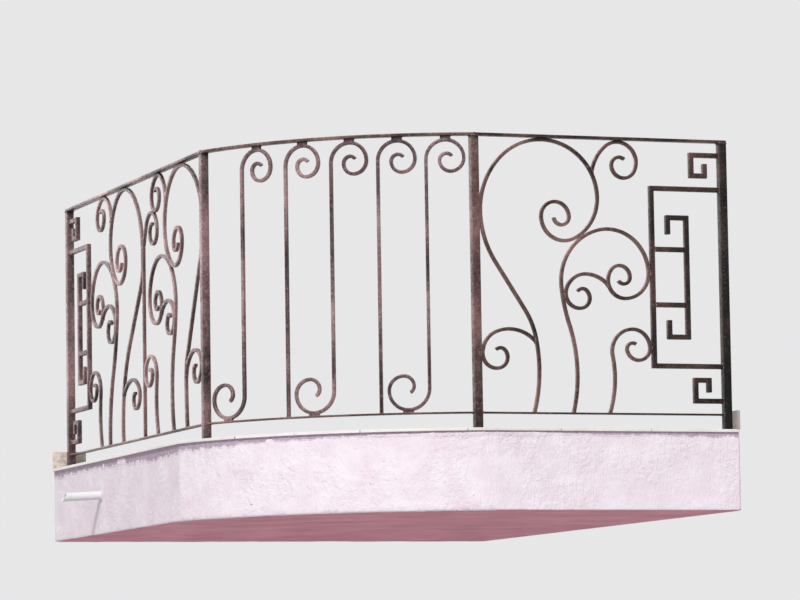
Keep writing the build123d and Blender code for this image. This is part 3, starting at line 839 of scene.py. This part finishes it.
def edge_steps(node):
    """Points along a bar's sharp edges, a short step apart."""
    solid = merged_copy(node)
    points = []
    for edge in sharp_edges(solid, SHARP_TURN):
        start, end = (v.co for v in edge.verts)
        count = max(1, round((end - start).length / STEP))
        points += [start.lerp(end, i / count) for i in range(count + 1)]
    solid.free()
    return points


def surface_of(node):
    solid = bmesh.new()
    solid.from_mesh(nodes[node].data)
    surface = BVHTree.FromBMesh(solid)
    solid.free()
    return surface


steps = {name: edge_steps(name) for name in iron_nodes}
surfaces = {name: surface_of(name) for name in iron_nodes}
boxes = {name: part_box(name) for name in iron_nodes}
print("steps", sum(len(points) for points in steps.values()))

# %% [markdown]
# A step that lies less than a millimetre from another bar is a touch. Most pairs of bars are far
# apart, and comparing their boxes first skips them. The upright and the scroll that it bends into
# are one bar, so they need no weld, and above the bend there is nothing to weld to.

# %% Touches between bars
TOUCH = 0.0007


def reaches(point, low, high):
    return all(low[i] - TOUCH <= point[i] <= high[i] + TOUCH for i in range(3))


def boxes_meet(first, second):
    low, high = first
    other_low, other_high = second
    return all(
        low[i] - TOUCH <= other_high[i] and other_low[i] - TOUCH <= high[i] for i in range(3)
    )


def touches(name, other):
    """Steps of one bar that lie on another."""
    pair = {name, other}
    one_bar = name == other or pair == {UPRIGHT, SCROLL_ABOVE}
    if one_bar or not boxes_meet(boxes[name], boxes[other]):
        return []
    low, high = boxes[other]
    top = bend_height if UPRIGHT in pair else high.z + TOUCH
    return [
        point for point in steps[name]
        if reaches(point, low, high) and point.z <= top
        and surfaces[other].find_nearest(point, TOUCH)[0] is not None
    ]


bead_places = [
    point for name in iron_nodes for other in iron_nodes for point in touches(name, other)
]
print("bead places", len(bead_places))

# %% [markdown]
# Beads must not pile up where many steps meet, so space is divided into small cubes and each cube
# keeps its first place. Beads that would sit deep inside both bars do no harm, and the ones at the
# rim of the touch show.

# %% One bead to a cube
BEAD_SPACING = 0.0032

cubes = {}
for point in bead_places:
    cubes.setdefault(tuple(round(v / BEAD_SPACING) for v in point), point)
kept = list(cubes.values())
print("beads kept", len(kept))

# %% [markdown]
# A bead is a drop that froze before it could flow, so it is a slightly squashed ball, never the
# same twice. A thousand objects would be slow, so they are one joined mesh: an icosphere is copied
# to each place, and noise taken at the place sets its size and its shift. Plain noise depends on
# the place alone, but noise_vector also adds offsets that Blender draws from the clock. So a seed
# is set first, and the result is the same on every run.

# %% Weld beads as one mesh
BEAD_RADIUS = 0.0021
BEAD_VARIATION = 0.35
DENT_VARIATION = 0.25
SWELL_SCALE, SHIFT_SCALE, DENT_SCALE = 400, 300, 900
BEAD_SEED = 1

bead_shape = bmesh.new()
bmesh.ops.create_icosphere(bead_shape, subdivisions=1, radius=BEAD_RADIUS)
bead_vertices = [v.co.copy() for v in bead_shape.verts]
bead_faces = [[v.index for v in f.verts] for f in bead_shape.faces]
bead_shape.free()

noise.seed_set(BEAD_SEED)
beads = bmesh.new()
for place in kept:
    swell = 1 + BEAD_VARIATION * noise.noise(place * SWELL_SCALE)
    centre = place + noise.noise_vector(place * SHIFT_SCALE) * BEAD_RADIUS * BEAD_VARIATION
    sizes = [swell + DENT_VARIATION * noise.noise((place + v) * DENT_SCALE) for v in bead_vertices]
    ring = [beads.verts.new(centre + v * size) for v, size in zip(bead_vertices, sizes)]
    for face in bead_faces:
        beads.faces.new([ring[i] for i in face])
weld_finish = wrought_iron("weld_iron", ROSE_PALETTE, rubbed_low=0.44, roughness=0.34)
welds = piece_from(beads, "weld_beads", weld_finish, smooth_angle=180)
print("weld faces", len(welds.data.polygons))

# %% [markdown]
# The slab was rendered by hand, so its edges are soft and its faces aren't true. A subdivided box
# would keep its corners sharp. A voxel remesh turns the solid into an even net of small squares
# instead, and its corners come out rounded, as a float leaves them. The modifier's result is then
# baked into the mesh, so that single points can be moved.

# %% The slab as an even net
STUCCO_GRID = 0.011

slab_low, slab_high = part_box("slab")
slab_copy = bmesh.new()
slab_copy.from_mesh(nodes["slab"].data)
slab = piece_from(slab_copy, "stuccoed_slab", stucco_finish, smooth_angle=180)
remesh = slab.modifiers.new("even_net", "REMESH")
remesh.mode = "VOXEL"
remesh.voxel_size = STUCCO_GRID
view = bpy.context.evaluated_depsgraph_get()
net = bpy.data.meshes.new_from_object(slab.evaluated_get(view))
slab.modifiers.clear()
slab.data = net
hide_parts("slab")
print("slab faces", len(net.polygons))

# %% [markdown]
# Each point is now pushed out or in by noise of two sizes: long waves from the straightedge and
# short ripples from the trowel, a millimetre or so each. The normals are copied first, because
# moving a point changes its neighbours'. The two mounting faces and the top under the tiles stay
# flat.

# %% Waves and ripples in the stucco
WAVE, WAVE_SCALE = 0.0013, 7
RIPPLE, RIPPLE_SCALE = 0.0008, 45
FLAT_MARGIN = 0.012

outward_ways = [vertex.normal.copy() for vertex in net.vertices]
moved = 0
for vertex, outward in zip(net.vertices, outward_ways):
    point = vertex.co
    mounted = point.y > slab_high.y - FLAT_MARGIN or point.x > slab_high.x - FLAT_MARGIN
    if mounted or point.z > slab_high.z - FLAT_MARGIN / 2:
        continue
    push = WAVE * noise.noise(point * WAVE_SCALE) + RIPPLE * noise.noise(point * RIPPLE_SCALE)
    vertex.co = point + outward * push
    moved += 1
net.polygons.foreach_set("use_smooth", [True] * len(net.polygons))
print("points moved", moved)

# %% [markdown]
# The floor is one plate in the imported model. Here it is cut into its tiles: for each field of a
# grid the plate is sliced at the field's four sides. Separate boxes would be easier, but only
# cutting gives the tiles at the bowed edge the bow's curve, as a grinder does on the real floor.

# %% Cutting the floor's plate
TILE_SIZE = 0.33
TILE_JOINT = 0.003
SIDES = (Vector((1, 0, 0)), Vector((0, 1, 0)))

floor_low, floor_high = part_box("floor_tiles")


def cut_plate(x_range, y_range):
    """The part of the floor's plate between two X and two Y values."""
    plate = merged_copy("floor_tiles")
    for axis, (low, high) in zip(SIDES, (x_range, y_range)):
        slice_off(plate, axis * low, -axis)
        slice_off(plate, axis * high, axis)
    return plate


def tile_at(column, row):
    """The tile at a place of the grid, which starts at the front right corner."""
    gap = TILE_JOINT / 2
    x = floor_high.x - column * TILE_SIZE
    y = floor_low.y + row * TILE_SIZE
    return cut_plate((x - TILE_SIZE + gap, x - gap), (y + gap, y + TILE_SIZE - gap))


columns = int((floor_high.x - floor_low.x) / TILE_SIZE) + 1
rows = int((floor_high.y - floor_low.y) / TILE_SIZE) + 1
print("tile grid", columns, "by", rows)

# %% [markdown]
# Each tile gets a small chamfer, so that its edges catch light, and its own tone, stored on its
# faces for the honed tile's finish to read. All tiles are copied into one mesh, because they are
# one floor.

# %% The tiled floor
TILE_EDGE = 0.001
TILE_SHARP_TURN = degrees(1)
COLUMN_STRIDE, ROW_STRIDE, TONE_LEVEL = 3.1, 5.7, 0.5

tiles = bmesh.new()
tone_layer = tiles.faces.layers.float.new(TONE_LAYER)
tile_count = 0
for column in range(columns):
    for row in range(rows):
        tile = tile_at(column, row)
        if tile.faces:
            flatten(tile)
            bmesh.ops.bevel(
                tile, geom=sharp_edges(tile, TILE_SHARP_TURN), offset=TILE_EDGE, segments=1,
                affect="EDGES", clamp_overlap=True,
            )
            tone_place = Vector((column * COLUMN_STRIDE, row * ROW_STRIDE, TONE_LEVEL))
            tone = noise.noise(tone_place) * 0.5 + 0.5
            corners = {v: tiles.verts.new(v.co) for v in tile.verts}
            for face in tile.faces:
                copy = tiles.faces.new([corners[v] for v in face.verts])
                copy[tone_layer] = tone
            tile_count += 1
        tile.free()
tile_field = piece_from(tiles, "floor_tile_field", tile_finish, smooth_angle=20)
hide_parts("floor_tiles")
print("tiles", tile_count, "faces", len(tile_field.data.polygons))

# %% [markdown]
# The gap between two tiles is the joint, and one can see through it. A slightly smaller and thinner
# copy of the plate fills it: that is the grout, a millimetre or so deep in the joint.

# %% Grout bed
GROUT_DEPTH = 0.0015
GROUT_INSET = 0.998

grout = bmesh.new()
grout.from_mesh(nodes["floor_tiles"].data)
middle = (floor_low + floor_high) / 2
for vertex in grout.verts:
    side = vertex.co - middle
    vertex.co.x = middle.x + side.x * GROUT_INSET
    vertex.co.y = middle.y + side.y * GROUT_INSET
    vertex.co.z -= GROUT_DEPTH if side.z > 0 else -GROUT_DEPTH / 2
grout_bed = piece_from(grout, "floor_grout_bed", grout_finish)
print("grout faces", len(grout_bed.data.polygons))

# %% [markdown]
# Under the overhanging tiles the render stopped short, and bare mortar shows in a band between
# stone and stucco. Its dark mauve is mostly the painted shadow of the tiles' overhang. It follows
# the upper edge of the slab. That line could be typed in, but the imported mesh has it: the edges
# between the slab's top and its sides are gathered and walked from neighbour to neighbour. The two
# mounting sides are left out, because nothing shows there.

# %% The slab's upper edge
LEVEL_TOLERANCE = 1e-5
MOUNT_MARGIN = 0.002


def top_outline(node):
    """Points of a solid's upper outer edge, in order, from its back left corner onwards."""
    solid = merged_copy(node)
    top = max(v.co.z for v in solid.verts)
    links = {}
    for edge in solid.edges:
        level = all(abs(v.co.z - top) < LEVEL_TOLERANCE for v in edge.verts)
        if level and any(abs(f.normal.z) < 0.5 for f in edge.link_faces):
            first, second = (v.co.copy().freeze() for v in edge.verts)
            links.setdefault(first, []).append(second)
            links.setdefault(second, []).append(first)
    solid.free()
    point = max(links, key=lambda p: p.y - p.x)
    line = [point]
    while onward := [p for p in links[point] if p not in line]:
        point = min(onward, key=lambda p: p.y) if len(line) == 1 else onward[0]
        line.append(point)
    return line


outline = [
    p for p in top_outline("slab")
    if p.x < slab_high.x - MOUNT_MARGIN or p.y < slab_low.y + MOUNT_MARGIN
]
print("outline points", len(outline))

# %% [markdown]
# The band's depth varies along that line. It is deep on the left side, where render has fallen off
# and the painted shadow of the tiles is longest, and almost closed at the middle of the front, where
# filler covers it. A list gives the depth at a few shares of the line, with even changes between
# them. Noise of three sizes then tears the edge: large bites, small ones and crumbs.

# %% How the torn edge runs
BAND_STEP = 0.004
BAND_DEPTHS = (
    (0.00, 0.025), (0.12, 0.020), (0.36, 0.035), (0.46, 0.025), (0.54, 0.015), (0.63, 0.011),
    (0.71, 0.005), (0.80, 0.0045), (0.86, 0.010), (0.95, 0.012), (1.00, 0.016),
)
TEAR_SIZES = ((28, 0.24), (95, 0.16), (260, 0.12))
TEAR = 1.6


def walked(line, step):
    """Points a step apart along a line, each with its direction."""
    for start, end in zip(line, line[1:]):
        way = end - start
        count = max(1, round(way.length / step))
        for i in range(count):
            yield start.lerp(end, i / count), way.normalized()


def depth_at(share):
    """Depth of the band at a share of its line."""
    for (start, first), (end, last) in zip(BAND_DEPTHS, BAND_DEPTHS[1:]):
        if share <= end:
            return first + (last - first) * (share - start) / (end - start)
    return BAND_DEPTHS[-1][1]


def torn(point, shift=0.0):
    """A share around 0 that wanders along the line like a torn edge."""
    place = point + Vector((0, 0, shift))
    return sum(noise.noise(place * size) * share * TEAR for size, share in TEAR_SIZES)


stations = list(walked(outline, BAND_STEP))
print("stations", len(stations))

# %% [markdown]
# The band of mortar and painted shadow and the torn, pale lip of render below it are both thin
# closed strips, rooted in the slab. A strip is a row of small four-point sections joined by faces
# and capped at its ends, much like a beveled curve, but here each section may have its own size. A
# point of a section is given by how far it lies out from the slab and down from its edge.

# %% Strips made of sections


def outward_at(point, way):
    """The level direction away from the slab's middle."""
    outward = Vector((way.y, -way.x, 0))
    return outward if outward.dot(point - (slab_low + slab_high) / 2) >= 0 else -outward


def section(strip, point, outward, offsets):
    return [strip.verts.new(point + outward * out - Vector((0, 0, down))) for out, down in offsets]


def closed_strip(strip, sections):
    """Joins the sections to a closed strip."""
    for before, now in zip(sections, sections[1:]):
        for i in range(len(now)):
            strip.faces.new([before[i - 1], before[i], now[i], now[i - 1]])
    strip.faces.new(sections[0])
    strip.faces.new(sections[-1])
    bmesh.ops.recalc_face_normals(strip, faces=strip.faces)


print("first outward way", tuple(outward_at(*stations[0])))

# %% [markdown]
# Along the line both strips are laid at once, because the lip begins where the band ends. The lip
# stands a little proud of the stucco. Where the band is almost closed, the lip is filler, taller
# and prouder, so both sizes grow with the share that is filled.

# %% The band of mortar and painted shadow, and its lip
BAND_PROUD, BAND_ROOT, BAND_TUCK = 0.0006, 0.002, 0.001
CLOSED_DEPTH = 0.012
LIP_HEIGHT, FILLED_HEIGHT = 0.007, 0.030
LIP_PROUD, FILLED_PROUD = 0.0018, 0.0045
LIP_TEAR = 1.2
LIP_ROOT, LIP_EDGE, LIP_HEEL = 0.001, 0.0008, 0.0015

band, lip = bmesh.new(), bmesh.new()
band_sections, lip_sections = [], []
for index, (point, way) in enumerate(stations):
    outward = outward_at(point, way)
    depth = depth_at(index / len(stations))
    drop = depth * (1 + torn(point))
    filled = max(0.0, 1 - depth / CLOSED_DEPTH)
    proud = LIP_PROUD + (FILLED_PROUD - LIP_PROUD) * filled
    proud *= 1 + LIP_TEAR * torn(point, 0.5)
    height = LIP_HEIGHT + (FILLED_HEIGHT - LIP_HEIGHT) * filled
    height *= 1 + LIP_TEAR * torn(point, 1.0)
    band_sections.append(section(band, point, outward, (
        (BAND_PROUD, 0), (BAND_PROUD, drop / 2), (BAND_PROUD, drop + BAND_TUCK),
        (-BAND_ROOT, drop / 2),
    )))
    lip_sections.append(section(lip, point, outward, (
        (-LIP_ROOT, drop), (proud, drop + LIP_EDGE), (proud * 0.9, drop + height * 0.4),
        (-LIP_HEEL, drop + height),
    )))
closed_strip(band, band_sections)
closed_strip(lip, lip_sections)
# Painted shadow: the band's mortar colour stands mostly for the tiles' shadow.
mortar_and_shadow_band = piece_from(band, "mortar_and_shadow_band", mortar_and_shadow_finish, smooth_angle=50)
plaster_lip = piece_from(lip, "plaster_lip", stucco_finish, smooth_angle=50)
print("band faces", len(mortar_and_shadow_band.data.polygons), "lip faces", len(plaster_lip.data.polygons))

# %% [markdown]
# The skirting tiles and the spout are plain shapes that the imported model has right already, so they
# keep their own meshes. Only their material slots are filled.

# %% Skirting and spout
for name, finish in (("skirting_tiles", skirting_finish), ("drain_spout", plastic_finish)):
    nodes[name].data.materials.clear()
    nodes[name].data.materials.append(finish)
    print(name, "wears", finish.name)

# %% [markdown]
# A bead of filler closes the hole where the spout leaves the stucco. It is a ring of small circles,
# a torus whose thickness noise varies: Blender's own torus would be too even for something smeared
# on with a finger.

# %% Filler round the spout
COLLAR_RADIUS = 0.019
COLLAR_THICKNESS = 0.0035
COLLAR_VARIATION = 0.35
COLLAR_STEPS = 48
COLLAR_SIDES = 10
SPOUT_AXIS_DROP = 0.0195

spout_low, spout_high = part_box("drain_spout")
collar_centre = Vector(
    (slab_low.x, (spout_low.y + spout_high.y) / 2, spout_high.z - SPOUT_AXIS_DROP)
)
collar = bmesh.new()
rings = []
for i in range(COLLAR_STEPS):
    turn = 2 * pi * i / COLLAR_STEPS
    spoke = Vector((0, cos(turn), sin(turn)))
    thick = COLLAR_THICKNESS * (1 + COLLAR_VARIATION * noise.noise(spoke * 3))
    tilts = [2 * pi * j / COLLAR_SIDES for j in range(COLLAR_SIDES)]
    rings.append([
        collar.verts.new(
            collar_centre + spoke * (COLLAR_RADIUS + thick * cos(tilt))
            + Vector((-thick * sin(tilt), 0, 0))
        )
        for tilt in tilts
    ])
for i, ring in enumerate(rings):
    before = rings[i - 1]
    for j in range(COLLAR_SIDES):
        collar.faces.new([before[j - 1], before[j], ring[j], ring[j - 1]])
bmesh.ops.recalc_face_normals(collar, faces=collar.faces)
piece_from(collar, "spout_filler", filler_finish, smooth_angle=180)
print("collar at", tuple(round(v, 3) for v in collar_centre))
